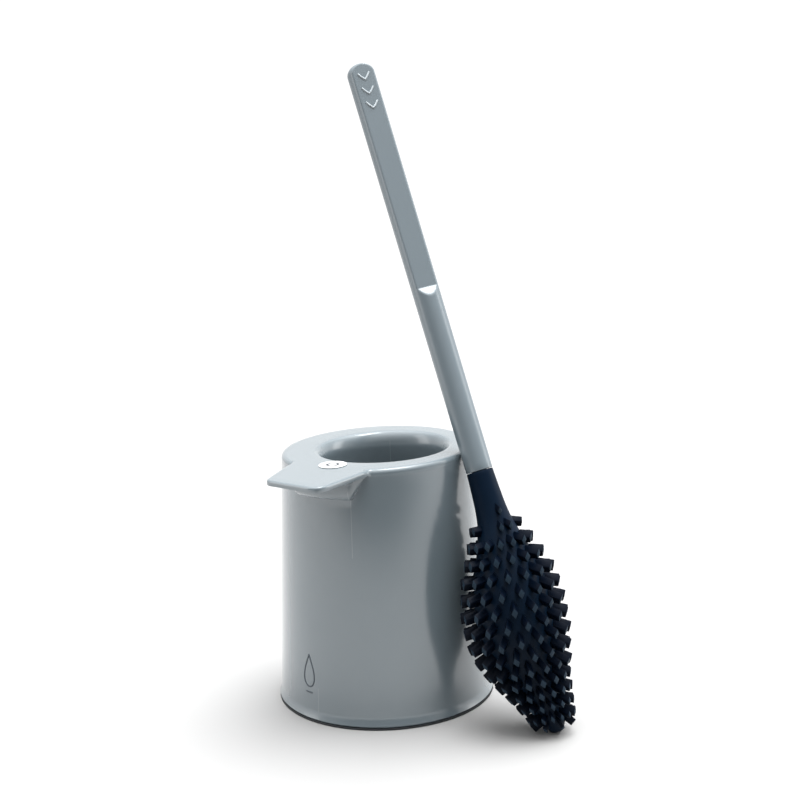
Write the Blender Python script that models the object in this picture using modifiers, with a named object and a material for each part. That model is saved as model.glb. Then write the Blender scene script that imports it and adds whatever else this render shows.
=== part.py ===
"""Silicone toilet brush leaning on its pot. Metres, +Z up.

The origin is the middle of the pot's underside, on the floor. The pouring tab of the rim points to
-X-Y, and the brush stands on its tip at +X-Y and leans back against the rim.
"""

import math

import bmesh
import bpy
from mathutils import Matrix, Quaternion, Vector

GAP = 0.0003

# Pot
POT_HEIGHT = 0.1386
RIM_RADIUS = 0.0520
RIM_EDGE_RADIUS = 0.0026
SKIRT_RADIUS = 0.0584
FOOT_RADIUS = 0.0597
FLARE_HEIGHT = 0.0070
FOOT_LAND = 0.0010
WALL = 0.0022
PLATE = 0.0026
MOUTH_CENTRE = Vector((0.0035, -0.0005, 0.0))
THROAT_RADIUS = 0.0330
MOUTH_ROUNDING = 0.0048
THROAT_DEPTH = 0.0260
NECK_FLARE = 0.0040
POT_STEPS = 64
EDGE_POINTS = 5

# Tab: a flat lip in the plane of the rim, with a wedge below it
TAB_CORNERS = ((-0.0445, -0.0240), (-0.0562, -0.0600), (-0.0280, -0.0840), (-0.0010, -0.0490))
TAB_CORNER_RADII = (0.0020, 0.0042, 0.0050, 0.0030)
TAB_THICKNESS = 0.0032
TAB_DROP = 0.00005
WEDGE_DEPTH = 0.0150
WEDGE_INSET = 0.0030
WEDGE_SIDES = (math.radians(-128.0), math.radians(-101.0))

# The rim falls a little towards the tab
RIM_SLOPE = 0.02
SLOPE_START = 0.1000

# Base
FOOT_DISC_RADIUS = 0.0601
FOOT_THICKNESS = 0.0012
CUP_FLOOR = 0.0020
CUP_WALL_HEIGHT = 0.0130
CUP_WALL = 0.0020

# Label on the rim
LABEL_CENTRE = Vector((-0.0226, -0.0375, 0.0))
LABEL_RADIUS = 0.0083
LABEL_THICKNESS = 0.0003
LABEL_GAP = 0.0001

# Brush: the joint between handle and head, and the way the brush leans
BRUSH_JOINT = Vector((0.0536, -0.0324, 0.1308))
LEAN = math.radians(21.5)
LEAN_TOWARDS = math.radians(132.0)

# Handle
HANDLE_RADIUS = 0.0075
HANDLE_JOINT_RADIUS = 0.0071
HANDLE_LENGTH = 0.2265
HANDLE_DOME = 0.0060
HANDLE_STEPS = 32
FLAT_START = 0.1003
FLAT_RAMP = 0.0054
FLAT_DISTANCE = 0.0046
FLAT_FACING = math.radians(-73.0)

# Spigot and spine inside the silicone head
SPIGOT_RADIUS = 0.0040
SPIGOT_LENGTH = 0.0300
SOCKET_DEPTH = 0.0325
SPINE_TOP_RADIUS = 0.0042
SPINE_TIP_RADIUS = 0.0028
SPINE_LENGTH = 0.1180
SPINE_STEPS = 16

# Head: radius of the silicone body at each distance below the joint
HEAD_PROFILE = (
    (0.0000, 0.0070),
    (0.0100, 0.0075),
    (0.0200, 0.0082),
    (0.0280, 0.0094),
    (0.0370, 0.0120),
    (0.0465, 0.0152),
    (0.0570, 0.0183),
    (0.0680, 0.0204),
    (0.0780, 0.0208),
    (0.0870, 0.0201),
    (0.0960, 0.0180),
    (0.1060, 0.0142),
    (0.1170, 0.0105),
    (0.1270, 0.0079),
    (0.1340, 0.0062),
    (0.1380, 0.0040),
)
HEAD_LENGTH = 0.1400
HEAD_STEPS = 32
HEAD_BOW = 0.0050
HEAD_BOW_POWER = 1.8

# Nubs: rings of diamond-shaped pegs, each ring turned half a pitch from the last. The first rings
# hold nubs only at so many evenly spaced places, so the bare neck ends in points. The nubs lie over
# towards the tip on one side of the head, most so on its upper half.
NUB_RINGS = 15
NUB_FIRST = 0.0215
NUB_RING_PITCH = 0.0087
NUB_PITCH_LOSS = 0.00007
NUBS_PER_RING = 16
NUB_GROUPS = (2, 4)
NUB_TURN = math.radians(-69.0)
NUB_DROOP = math.radians(38.0)
NUB_DROOP_FACING = math.radians(-35.0)
NUB_DROOP_FADE = (0.0600, 0.1100)
NUB_DROOP_LEFT = 0.3
NUB_HALF_WIDTH = 0.0021
NUB_HALF_HEIGHT = 0.0034
NUB_SHARE_OF_PITCH = 0.44
NUB_LENGTH = 0.0074
NUB_FIRST_LENGTH = 0.0034
NUB_LAST_LENGTH = 0.0053
NUB_FULL_LENGTH_DEPTHS = (0.0550, 0.1000)
NUB_ROOT = 0.0020
NUB_DRAFT = 0.86


def clear_scene():
    for obj in list(bpy.data.objects):
        bpy.data.objects.remove(obj)


def new_collection(name):
    group = bpy.data.collections.new(name)
    bpy.context.scene.collection.children.link(group)
    return group


def plastic(name, colour, roughness):
    made = bpy.data.materials.new(name)
    made.use_nodes = True
    shader = made.node_tree.nodes["Principled BSDF"]
    shader.inputs["Base Color"].default_value = (*colour, 1.0)
    shader.inputs["Roughness"].default_value = roughness
    shader.inputs["Metallic"].default_value = 0.0
    made.diffuse_color = (*colour, 1.0)
    return made


def add_object(name, mesh, group, material=None):
    obj = bpy.data.objects.new(name, mesh)
    group.objects.link(obj)
    if material:
        mesh.materials.clear()
        mesh.materials.append(material)
    return obj


def evaluated_mesh(obj):
    """The object's shape with its modifiers applied, its loose caps welded."""
    graph = bpy.context.evaluated_depsgraph_get()
    mesh = bpy.data.meshes.new_from_object(obj.evaluated_get(graph))
    shape = bmesh.new()
    shape.from_mesh(mesh)
    bmesh.ops.remove_doubles(shape, verts=shape.verts, dist=1e-6)
    shape.to_mesh(mesh)
    shape.free()
    return mesh


def baked(obj, group, material=None):
    """Replaces the object with one whose mesh already holds its modifiers."""
    name, place, mesh = obj.name, obj.matrix_world.copy(), evaluated_mesh(obj)
    bpy.data.objects.remove(obj)
    solid = add_object(name, mesh, group, material)
    solid.matrix_world = place
    return solid


def revolved(name, profile, steps, group, material=None):
    """A turned solid. The profile's points are (radius, height), down the outer side first."""
    mesh = bpy.data.meshes.new(name)
    points = [(radius, 0.0, height) for radius, height in profile]
    edges = [(i, i + 1) for i in range(len(points) - 1)]
    closed = profile[0][0] > 0 or profile[-1][0] > 0
    if closed:
        edges.append((len(points) - 1, 0))
    mesh.from_pydata(points, edges, [])
    obj = add_object(name, mesh, group)
    turn = obj.modifiers.new("Turn", "SCREW")
    turn.steps = steps
    turn.render_steps = steps
    turn.use_merge_vertices = True
    turn.merge_threshold = 1e-5
    return baked(obj, group, material)


def from_outline(name, points, low, high, group):
    """A flat plate with this outline, from one height to another."""
    curve = bpy.data.curves.new(name, "CURVE")
    curve.dimensions = "2D"
    curve.fill_mode = "BOTH"
    curve.extrude = (high - low) / 2
    spline = curve.splines.new("POLY")
    spline.points.add(len(points) - 1)
    for corner, (x, y) in zip(spline.points, points):
        corner.co = (x, y, 0.0, 1.0)
    spline.use_cyclic_u = True
    obj = add_object(name, curve, group)
    obj.location.z = (high + low) / 2
    bpy.context.view_layer.update()
    return baked(obj, group)


def combine(obj, other, operation):
    step = obj.modifiers.new(operation.title(), "BOOLEAN")
    step.operation = operation
    step.object = other
    step.solver = "EXACT"


def as_tool(obj):
    """A cutter, or a shape that is joined to another: neither is a part itself."""
    obj.hide_render = True
    obj.display_type = "WIRE"
    return obj


def shade_round(obj, degrees=35):
    obj.data.shade_smooth()
    obj.data.set_sharp_from_angle(angle=math.radians(degrees))


def arc(centre, radius, start, end, count):
    """Points on a circle in the profile's plane, with angles in degrees."""
    found = []
    for i in range(count):
        angle = math.radians(start + (end - start) * i / (count - 1))
        x = centre[0] + radius * math.cos(angle)
        y = centre[1] + radius * math.sin(angle)
        found.append((x, y))
    return found


def rounded_outline(corners, radii, count=5):
    """The outline through these corners, each rounded with its own radius."""
    found = []
    total = len(corners)
    for i, radius in enumerate(radii):
        corner = Vector(corners[i])
        before = (Vector(corners[i - 1]) - corner).normalized()
        after = (Vector(corners[(i + 1) % total]) - corner).normalized()
        half = before.angle(after) / 2
        start = corner + before * radius / math.tan(half)
        end = corner + after * radius / math.tan(half)
        for j in range(count):
            t = j / (count - 1)
            bend = start.lerp(corner, t).lerp(corner.lerp(end, t), t)
            found.append(tuple(bend))
    return found


# ---- pot ----


def wall_radius(height):
    """Outer radius of the pot's wall above the flare of its foot."""
    share = (height - FLARE_HEIGHT) / (POT_HEIGHT - RIM_EDGE_RADIUS - FLARE_HEIGHT)
    return SKIRT_RADIUS + (RIM_RADIUS - SKIRT_RADIUS) * share


def shell_profile():
    bottom = FOOT_THICKNESS + GAP
    edge_centre = (RIM_RADIUS - RIM_EDGE_RADIUS, POT_HEIGHT - RIM_EDGE_RADIUS)
    points = [(0.0, POT_HEIGHT)]
    points += arc(edge_centre, RIM_EDGE_RADIUS, 90, 0, EDGE_POINTS)
    points += [(SKIRT_RADIUS, FLARE_HEIGHT), (FOOT_RADIUS, bottom + FOOT_LAND), (FOOT_RADIUS, bottom)]
    points += [(SKIRT_RADIUS - WALL, bottom)]
    points += [(SKIRT_RADIUS - WALL, FLARE_HEIGHT)]
    under = POT_HEIGHT - PLATE
    points += [(wall_radius(under) - WALL, under), (0.0, under)]
    return points


def make_tab(tools):
    """The lip itself, and the wedge that carries it down to the wall."""
    outline = rounded_outline(TAB_CORNERS, TAB_CORNER_RADII)
    top = POT_HEIGHT - TAB_DROP
    lip = from_outline("tab_lip", outline, top - TAB_THICKNESS, top, tools)

    middle = sum((Vector(corner) for corner in TAB_CORNERS), Vector((0.0, 0.0))) / len(TAB_CORNERS)
    shape = bmesh.new()
    for corner in TAB_CORNERS:
        place = Vector(corner) + (middle - Vector(corner)).normalized() * WEDGE_INSET
        for height in (POT_HEIGHT - TAB_THICKNESS / 2, POT_HEIGHT - TAB_THICKNESS - GAP):
            shape.verts.new((place.x, place.y, height))
    low = POT_HEIGHT - WEDGE_DEPTH
    for side in WEDGE_SIDES:
        radius = wall_radius(low) - WALL / 2
        shape.verts.new((radius * math.cos(side), radius * math.sin(side), low))
    bmesh.ops.convex_hull(shape, input=shape.verts)
    mesh = bpy.data.meshes.new("tab_wedge")
    shape.to_mesh(mesh)
    shape.free()
    wedge = add_object("tab_wedge", mesh, tools)
    return as_tool(lip), as_tool(wedge)


def make_mouth(tools):
    """The neck below the rim plate, and the flared cutter that opens it."""
    neck_radius = THROAT_RADIUS + WALL
    neck_top = POT_HEIGHT - PLATE / 2
    neck_bottom = POT_HEIGHT - THROAT_DEPTH
    points = [(0.0, neck_top), (neck_radius + NECK_FLARE, neck_top)]
    points += [(neck_radius, neck_bottom), (0.0, neck_bottom)]
    neck = revolved("neck", points, POT_STEPS, tools)
    neck.location = MOUTH_CENTRE

    rounding = MOUTH_ROUNDING
    lip_centre = (THROAT_RADIUS + rounding, POT_HEIGHT - rounding)
    clear = 0.0050
    points = [(0.0, POT_HEIGHT + clear), (THROAT_RADIUS + rounding, POT_HEIGHT + clear)]
    points += arc(lip_centre, rounding, 90, 180, EDGE_POINTS + 2)
    points += [(THROAT_RADIUS, neck_bottom - clear), (0.0, neck_bottom - clear)]
    bore = revolved("mouth_cutter", points, POT_STEPS, tools)
    bore.location = MOUTH_CENTRE
    return as_tool(neck), as_tool(bore)


def make_pot(parts, tools, material):
    shell = revolved("pot_shell", shell_profile(), POT_STEPS, parts, material)
    lip, wedge = make_tab(tools)
    neck, bore = make_mouth(tools)
    hollow = inner_space(tools)
    combine(shell, lip, "UNION")
    combine(shell, wedge, "UNION")
    combine(shell, hollow, "DIFFERENCE")
    combine(shell, neck, "UNION")
    combine(shell, bore, "DIFFERENCE")
    slope_rim(baked(shell, parts, material))


def slope_rim(obj):
    """Lets the rim fall towards the tab, and the wall below it follow."""
    for vertex in obj.data.vertices:
        place = obj.matrix_world @ vertex.co
        share = (place.z - SLOPE_START) / (POT_HEIGHT - SLOPE_START)
        vertex.co.z += RIM_SLOPE * place.x * min(max(share, 0.0), 1.0)
    shade_round(obj)


def inner_space(tools):
    """The pot's hollow, which trims what the wedge puts inside the wall."""
    under = POT_HEIGHT - PLATE
    points = [
        (0.0, under),
        (wall_radius(under) - WALL, under),
        (SKIRT_RADIUS - WALL, FLARE_HEIGHT),
        (0.0, FLARE_HEIGHT),
    ]
    return as_tool(revolved("hollow_cutter", points, POT_STEPS, tools))


def make_base(parts, rubber, material):
    points = [(0.0, FOOT_THICKNESS), (FOOT_DISC_RADIUS, FOOT_THICKNESS)]
    points += [(FOOT_DISC_RADIUS, 0.0), (0.0, 0.0)]
    foot = revolved("foot_disc", points, POT_STEPS, parts, rubber)
    low = FOOT_THICKNESS + GAP
    outer = SKIRT_RADIUS - WALL - GAP
    top = low + CUP_WALL_HEIGHT
    outer_top = wall_radius(top) - WALL - GAP
    points = [
        (outer_top, top),
        (outer, FLARE_HEIGHT),
        (outer, low),
        (0.0, low),
        (0.0, low + CUP_FLOOR),
        (outer - CUP_WALL, low + CUP_FLOOR),
        (outer_top - CUP_WALL, top),
    ]
    cup = revolved("base_cup", points[3:] + points[:3], POT_STEPS, parts, material)
    shade_round(foot)
    shade_round(cup)


def make_label(parts, material):
    low = POT_HEIGHT + LABEL_GAP
    high = low + LABEL_THICKNESS
    points = [(0.0, high), (LABEL_RADIUS, high), (LABEL_RADIUS, low), (0.0, low)]
    label = revolved("rim_label", points, 32, parts, material)
    label.location = LABEL_CENTRE
    bpy.context.view_layer.update()
    slope_rim(label)


# ---- brush: made upright, its joint at the origin, then leant by its parent ----


def brush_frame(parts):
    frame = bpy.data.objects.new("brush_axis", None)
    parts.objects.link(frame)
    frame.rotation_mode = "QUATERNION"
    hinge = Vector((-math.sin(LEAN_TOWARDS), math.cos(LEAN_TOWARDS), 0.0))
    frame.rotation_quaternion = Quaternion(hinge, LEAN)
    frame.location = BRUSH_JOINT
    return frame


def make_handle(frame, parts, tools, material):
    bore = SPIGOT_RADIUS + GAP
    top = HANDLE_LENGTH
    points = [(0.0, top)]
    for x, y in arc((0.0, 0.0), 1.0, 75, 0, 6):
        points.append((HANDLE_RADIUS * x, top - HANDLE_DOME + HANDLE_DOME * y))
    points += [
        (HANDLE_JOINT_RADIUS, GAP / 2),
        (bore, GAP / 2),
        (bore, SOCKET_DEPTH),
        (0.0, SOCKET_DEPTH),
    ]
    handle = revolved("handle", points, HANDLE_STEPS, parts, material)

    beyond = 2 * HANDLE_RADIUS
    ramp_run = FLAT_RAMP * (beyond - FLAT_DISTANCE) / (HANDLE_RADIUS - FLAT_DISTANCE)
    outline = [
        (FLAT_DISTANCE, FLAT_START),
        (beyond, FLAT_START - ramp_run),
        (beyond, top + beyond),
        (FLAT_DISTANCE, top + beyond),
    ]
    cutter = as_tool(from_outline("flat_cutter", outline, -beyond, beyond, tools))
    cutter.matrix_world = Matrix.Rotation(FLAT_FACING, 4, "Z") @ Matrix.Rotation(math.pi / 2, 4, "X")
    combine(handle, cutter, "DIFFERENCE")
    shade_round(handle)
    handle = baked(handle, parts, material)
    handle.parent = frame


def bow(depth):
    """How far the soft head bows sideways at this distance below the joint."""
    share = min(max(depth / HEAD_LENGTH, 0.0), 1.0)
    return HEAD_BOW * (1 - math.cos(2 * math.pi * share**HEAD_BOW_POWER)) / 2


def bend_head(obj):
    for vertex in obj.data.vertices:
        vertex.co.x -= bow(-vertex.co.z)


def head_radius(depth):
    """Radius of the silicone body, read along its profile."""
    for (near, first), (far, second) in zip(HEAD_PROFILE, HEAD_PROFILE[1:]):
        if depth <= far:
            return first + (second - first) * (depth - near) / (far - near)
    return HEAD_PROFILE[-1][1]


def head_slope(depth):
    step = 0.001
    return (head_radius(depth + step) - head_radius(depth - step)) / (2 * step)


def make_core(frame, parts, material):
    points = [(0.0, SPIGOT_LENGTH), (SPIGOT_RADIUS - 0.0006, SPIGOT_LENGTH)]
    points += [(SPIGOT_RADIUS, SPIGOT_LENGTH - 0.0008), (SPIGOT_RADIUS, GAP / 2)]
    count = 10
    for i in range(count + 1):
        share = i / count
        radius = SPINE_TOP_RADIUS + (SPINE_TIP_RADIUS - SPINE_TOP_RADIUS) * share
        points.append((radius, -GAP / 2 - SPINE_LENGTH * share))
    points += [(0.0, -SPINE_LENGTH - 0.0010)]
    core = revolved("head_core", points, SPINE_STEPS, parts, material)
    bend_head(core)
    core.parent = frame
    shade_round(core)


def nub_droop(depth, turn):
    """How far a nub lies over towards the tip."""
    first, last = NUB_DROOP_FADE
    along = min(max((depth - first) / (last - first), 0.0), 1.0)
    facing = 0.5 + 0.5 * math.cos(turn - NUB_DROOP_FACING)
    return NUB_DROOP * facing * (1.0 + (NUB_DROOP_LEFT - 1.0) * along)


def nub_length(depth):
    """Short at the neck, longest round the middle, and shorter again towards the tip."""
    first, last = NUB_FULL_LENGTH_DEPTHS
    if depth < first:
        share = (depth - NUB_FIRST) / (first - NUB_FIRST)
        return NUB_FIRST_LENGTH + (NUB_LENGTH - NUB_FIRST_LENGTH) * max(share, 0.0)
    share = max(depth - last, 0.0) / (HEAD_LENGTH - last)
    return NUB_LENGTH + (NUB_LAST_LENGTH - NUB_LENGTH) * share


def nub_places():
    """(depth, turn) of each nub."""
    pitch = 2 * math.pi / NUBS_PER_RING
    for ring in range(NUB_RINGS):
        depth = NUB_FIRST + NUB_RING_PITCH * ring - NUB_PITCH_LOSS * ring**2
        groups = NUB_GROUPS[ring] if ring < len(NUB_GROUPS) else NUBS_PER_RING
        group_pitch = 2 * math.pi / groups
        reach = pitch * (0.25 + 0.5 * ring)
        for i in range(NUBS_PER_RING):
            turn = pitch * (i + 0.5 * (ring % 2))
            from_group = abs((turn + group_pitch / 2) % group_pitch - group_pitch / 2)
            if from_group <= reach:
                yield depth, NUB_TURN + turn


def nub_matrix(depth, turn, tilt, half_width):
    """Places a unit nub: its X runs round the head, its Y along it, its Z out of it."""
    radius = head_radius(depth)
    thickness = half_width / NUB_HALF_WIDTH
    half_height = NUB_HALF_HEIGHT * (0.45 + 0.55 * thickness)
    length = nub_length(depth)
    outward = Vector((math.cos(turn), math.sin(turn), 0.0))
    out = outward * math.cos(tilt) + Vector((0.0, 0.0, math.sin(tilt)))
    around = Vector((-math.sin(turn), math.cos(turn), 0.0))
    along = out.cross(around)
    middle = outward * radius + Vector((0.0, 0.0, -depth)) + out * (length - NUB_ROOT) / 2
    turn_in = Matrix((around, along, out)).transposed().to_4x4()
    size = Matrix.Diagonal((half_width, half_height, NUB_ROOT + length, 1.0))
    return Matrix.Translation(middle) @ turn_in @ size


def nub_matrices():
    for depth, turn in nub_places():
        pitch = 2 * math.pi * head_radius(depth) / NUBS_PER_RING
        tilt = math.atan(head_slope(depth)) - nub_droop(depth, turn)
        yield nub_matrix(depth, turn, tilt, min(NUB_HALF_WIDTH, NUB_SHARE_OF_PITCH * pitch))


def make_nubs(tools):
    shape = bmesh.new()
    for place in nub_matrices():
        bmesh.ops.create_cone(
            shape,
            cap_ends=True,
            segments=4,
            radius1=1.0,
            radius2=NUB_DRAFT,
            depth=1.0,
            matrix=place,
        )
    mesh = bpy.data.meshes.new("nubs")
    shape.to_mesh(mesh)
    shape.free()
    nubs = add_object("nubs", mesh, tools)
    bend_head(nubs)
    return as_tool(nubs)


def make_sleeve(frame, parts, tools, material):
    top = -GAP / 2
    cavity_top = SPINE_TOP_RADIUS + GAP
    cavity_tip = SPINE_TIP_RADIUS + GAP
    cavity_end = -SPINE_LENGTH - 2 * GAP - 0.0010
    points = []
    for depth, radius in HEAD_PROFILE:
        points.append((radius, min(top, -depth)))
    points.append((0.0, -HEAD_LENGTH))
    points.append((0.0, cavity_end))
    count = 10
    for i in range(count, -1, -1):
        share = i / count
        height = top - (SPINE_LENGTH + GAP) * share
        points.append((cavity_top + (cavity_tip - cavity_top) * share, height))
    head = revolved("head_sleeve", points, HEAD_STEPS, parts, material)
    bend_head(head)
    combine(head, make_nubs(tools), "UNION")
    head = baked(head, parts, material)
    head.parent = frame
    shade_round(head)


def main():
    clear_scene()
    parts = new_collection("toilet_brush_and_pot")
    tools = new_collection("cutters")
    grey_gloss = plastic("pot_plastic", (0.42, 0.48, 0.52), 0.22)
    grey_satin = plastic("handle_plastic", (0.38, 0.44, 0.48), 0.35)
    silicone = plastic("dark_silicone", (0.010, 0.022, 0.045), 0.55)
    rubber = plastic("foot_rubber", (0.02, 0.025, 0.03), 0.8)
    nylon = plastic("core_nylon", (0.07, 0.08, 0.09), 0.5)
    paper = plastic("label_paper", (0.85, 0.86, 0.86), 0.4)

    make_pot(parts, tools, grey_gloss)
    make_base(parts, rubber, grey_gloss)
    make_label(parts, paper)
    frame = brush_frame(parts)
    make_handle(frame, parts, tools, grey_satin)
    make_core(frame, parts, nylon)
    make_sleeve(frame, parts, tools, silicone)


main()
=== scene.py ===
"""Silicone toilet brush leaning on its pot: the detailed model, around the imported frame."""

import math
import random

import bmesh
import bpy
from mathutils import Matrix, Quaternion, Vector


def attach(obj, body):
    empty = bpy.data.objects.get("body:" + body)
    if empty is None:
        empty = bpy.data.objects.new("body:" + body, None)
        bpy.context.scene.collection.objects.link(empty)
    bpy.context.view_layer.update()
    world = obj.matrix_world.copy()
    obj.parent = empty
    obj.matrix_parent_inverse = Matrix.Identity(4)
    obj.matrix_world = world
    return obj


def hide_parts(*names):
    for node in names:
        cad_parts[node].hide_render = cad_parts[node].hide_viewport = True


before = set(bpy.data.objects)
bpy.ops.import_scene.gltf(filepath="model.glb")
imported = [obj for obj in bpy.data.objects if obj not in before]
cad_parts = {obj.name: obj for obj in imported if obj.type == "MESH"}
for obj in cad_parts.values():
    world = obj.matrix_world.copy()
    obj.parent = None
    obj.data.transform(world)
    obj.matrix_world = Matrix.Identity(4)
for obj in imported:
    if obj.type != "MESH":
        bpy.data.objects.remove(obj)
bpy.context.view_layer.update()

GAP = 0.0003

# ---- sizes of the pot: those of its solids, with a softer mouth, tab, wedge, foot and label ----
POT_HEIGHT = 0.1386
RIM_RADIUS = 0.0520
RIM_EDGE = 0.0026
TAB_EDGE = 0.0014
SKIRT_RADIUS = 0.0584
FOOT_RADIUS = 0.0597
FLARE_HEIGHT = 0.0070
POT_BOTTOM = 0.0015
WALL = 0.0022
PLATE = 0.0026
MOUTH_CENTRE = Vector((0.0035, -0.0005))
THROAT_RADIUS = 0.0330
MOUTH_ROUNDING = 0.0048
MOUTH_ROUNDING_DEPTH = 0.0090
THROAT_END = 0.1126
THROAT_LIP = 0.0006
NECK_FLARE = 0.0040
UNDER_PLATE_ROUNDING = 0.0030
TAB_CORNERS = ((-0.0445, -0.0240), (-0.0562, -0.0600), (-0.0280, -0.0840), (-0.0010, -0.0490))
TAB_CORNER_RADII = (0.0020, 0.0066, 0.0080, 0.0030)
TAB_THICKNESS = 0.0032
TAB_AZIMUTHS = (208.0, 268.0)
TAB_BLEND = 0.0016
TAB_LOW_EDGE = 0.0012
WEDGE_DEPTH = 0.0115
SKIRT_PROUD = 0.0045
WEDGE_START = (212.0, 222.0)
WEDGE_END = (255.0, 264.0)
RIM_SLOPE = 0.02
SLOPE_START = 0.1000
FINE_STEP = 0.3
COARSE_STEP = 1.5

FOOT_DISC_RADIUS = 0.0597
FOOT_THICKNESS = 0.0012
CUP_FLOOR = 0.0020
CUP_HEIGHT = 0.0130
CUP_WALL = 0.0020

LABEL_CENTRE = Vector((-0.0226, -0.0375, 0.0))
LABEL_RADIUS = 0.0074
LABEL_LIFT = 0.0001
LABEL_THICKNESS = 0.0003

# ---- sizes of the brush: those of its solids, and a ring of small nubs at the tip ----
BRUSH_JOINT = Vector((0.0536, -0.0324, 0.1308))
LEAN = math.radians(21.5)
LEAN_TOWARDS = math.radians(132.0)
HANDLE_RADIUS = 0.0075
HANDLE_JOINT_RADIUS = 0.0071
HANDLE_LENGTH = 0.2265
HANDLE_DOME = 0.0060
FLAT_START = 0.1003
FLAT_RAMP = 0.0054
FLAT_DISTANCE = 0.0046
FLAT_FACING = math.radians(-73.0)
FLAT_EDGE = 0.0005
HANDLE_SIDES = 160
BORE_EDGE = 0.0003
JOINT_EDGE = 0.0004
SPIGOT_RADIUS = 0.0040
SPIGOT_LENGTH = 0.0300
SOCKET_DEPTH = 0.0325
SPINE_TOP_RADIUS = 0.0042
SPINE_TIP_RADIUS = 0.0028
SPINE_LENGTH = 0.1180
HEAD_PROFILE = (
    (0.0000, 0.0070),
    (0.0100, 0.0075),
    (0.0200, 0.0082),
    (0.0280, 0.0094),
    (0.0370, 0.0120),
    (0.0465, 0.0152),
    (0.0570, 0.0183),
    (0.0680, 0.0204),
    (0.0780, 0.0208),
    (0.0870, 0.0201),
    (0.0960, 0.0180),
    (0.1060, 0.0142),
    (0.1170, 0.0105),
    (0.1270, 0.0079),
    (0.1340, 0.0062),
    (0.1380, 0.0040),
)
HEAD_LENGTH = 0.1400
HEAD_SIDES = 96
HEAD_STEPS = 90
HEAD_BOW = 0.0050
HEAD_BOW_POWER = 1.8
NUB_RINGS = 15
NUB_FIRST = 0.0215
NUB_RING_PITCH = 0.0087
NUB_PITCH_LOSS = 0.00007
NUBS_PER_RING = 16
NUB_GROUPS = (2, 4)
NUB_TURN = math.radians(-69.0)
NUB_DROOP = math.radians(38.0)
NUB_DROOP_FACING = math.radians(-35.0)
NUB_DROOP_FADE = (0.0600, 0.1100)
NUB_DROOP_LEFT = 0.3
NUB_HALF_WIDTH = 0.0021
NUB_HALF_HEIGHT = 0.0034
NUB_SHARE_OF_PITCH = 0.44
NUB_LENGTH = 0.0074
NUB_FIRST_LENGTH = 0.0034
NUB_LAST_LENGTH = 0.0053
NUB_FULL_LENGTH_DEPTHS = (0.0550, 0.1000)
NUB_ROOT = 0.0020
NUB_DRAFT = 0.86
NUB_EDGE = 0.00032
TIP_NUBS = 7
TIP_NUB_DEPTH = 0.1325
TIP_NUB_TURN = math.radians(-20.0)
TIP_NUB_TILTS = (math.radians(-36.0), math.radians(-20.0))
TIP_NUB_FACING = math.radians(-48.0)
TIP_NUB_HALF_WIDTH = 0.0012

# ---- small marks, generic shapes in place of any lettering ----
DROP_AZIMUTH = math.radians(225.5)
DROP_HEIGHT = 0.0275
DROP_HALF_WIDTH = 0.0052
DROP_HALF_HEIGHT = 0.0088
CHEVRONS = 3
CHEVRON_TOP = 0.0065
CHEVRON_PITCH = 0.0080
CHEVRON_HALF_WIDTH = 0.0032
CHEVRON_DROP = 0.0036
MARK_WIRE = 0.00050
MARK_SINK = 0.4 * MARK_WIRE
CHEVRON_RISE = 0.1 * MARK_WIRE

# ---- finishes ----
# painted shade down the nubs' sides and painted light on their tips, not the silicone's own colour
NUB_SIDE_PAINTED_SHADE = (0.0006, 0.0026, 0.0075, 1.0)
NUB_TIP_PAINTED_LIGHT = (0.0150, 0.0290, 0.0460, 1.0)
PARTING_COLOUR = (0.34, 0.38, 0.40, 1.0)
PARTING_SHARE = 0.35
LABEL_INK = (0.020, 0.026, 0.034, 1.0)
# each fine line where the mould met: direction in degrees, lower end, upper end, half width
PARTING_LINES = (
    (255.0, 0.092, 0.128, 0.00022),
    (232.0, 0.006, 0.019, 0.00018),
    (78.0, 0.112, 0.134, 0.0002),
)
# each mark printed on the label: its middle, the radius of its ring (0 is a dot), half the ink's width
LABEL_MARKS = (
    (0.0, 0.0, 0.0029, 0.0009),
    (-0.0053, 0.0, 0.0, 0.0011),
    (0.0053, 0.0, 0.0, 0.0011),
)

# ---- stage ----
FLOOR_SIDE = 1.6
FLOOR_FRONT = -0.52
FLOOR_BACK = 1.5
WORLD_FRONT = 0.10
WORLD_BACK = 0.90
WORLD_ABOVE = 0.70
WORLD_OVERHEAD = 1.3
WORLD_SEEN = 1.1
FLOOR_GREY = 0.315
OVERHEAD_ENERGY = 6.9
OVERHEAD_SPREAD = math.radians(60.0)
OVERHEAD_TURN = (math.radians(-11.0), math.radians(11.0), 0.0)
LIGHTS_AIM = (0.0, 0.0, 0.12)
AREA_LIGHTS = (
    ("top_light", (0.27, 0.0, 1.6), (0.55, 0.55), 7.0),
    ("left_light", (-1.1, -0.1, 0.55), (0.5, 1.1), 2.2),
    ("right_light", (1.2, 0.2, 0.5), (0.5, 1.1), 3.0),
)
CAMERA_PLACE = (0.01355, -0.7607, 0.3170)
CAMERA_PITCH = 0.199
CAMERA_ROLL = -0.039
CAMERA_LENS = 64.69


# ---- shapes ----


def smooth_share(value, start, end):
    share = min(max((value - start) / (end - start), 0.0), 1.0)
    return share * share * (3.0 - 2.0 * share)


def add_piece(name, mesh):
    piece = bpy.data.objects.new(name, mesh)
    bpy.context.scene.collection.objects.link(piece)
    return piece


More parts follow.
